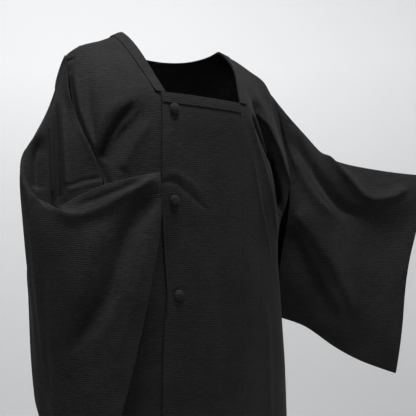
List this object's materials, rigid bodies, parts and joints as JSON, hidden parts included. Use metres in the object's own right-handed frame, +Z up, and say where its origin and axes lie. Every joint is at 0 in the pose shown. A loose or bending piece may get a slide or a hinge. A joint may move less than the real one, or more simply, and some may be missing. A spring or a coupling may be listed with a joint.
{
  "type": "michiyuki coat",
  "caption": "Square-necked outer coat of kimono cut as worn, with a wide overlapped front band closed by covered buttons and deep open sleeves, one arm held across the front.",
  "frame": {"origin": "midway between the two shoulders, level with the neck edge where it crosses them", "axes": "+X to the wearer's left, -Y the way the wearer faces, +Z up"},
  "size_m": [0.9021, 0.2885, 0.9027],
  "materials": {
    "crinkled_cloth": "matt cloth with a fine crinkle",
    "button_cloth": "matt cloth over a domed button"
  },
  "bodies": {
    "root": {"body_right": "crinkled_cloth", "body_left": "crinkled_cloth", "front_band_upper": "crinkled_cloth", "front_band_lower": "crinkled_cloth", "neck_frame_front": "crinkled_cloth", "neck_frame": "crinkled_cloth", "sleeve_right": "crinkled_cloth", "sleeve_left": "crinkled_cloth", "button_top": "button_cloth", "button_middle": "button_cloth", "button_low": "button_cloth"}
  },
  "joints": []
}
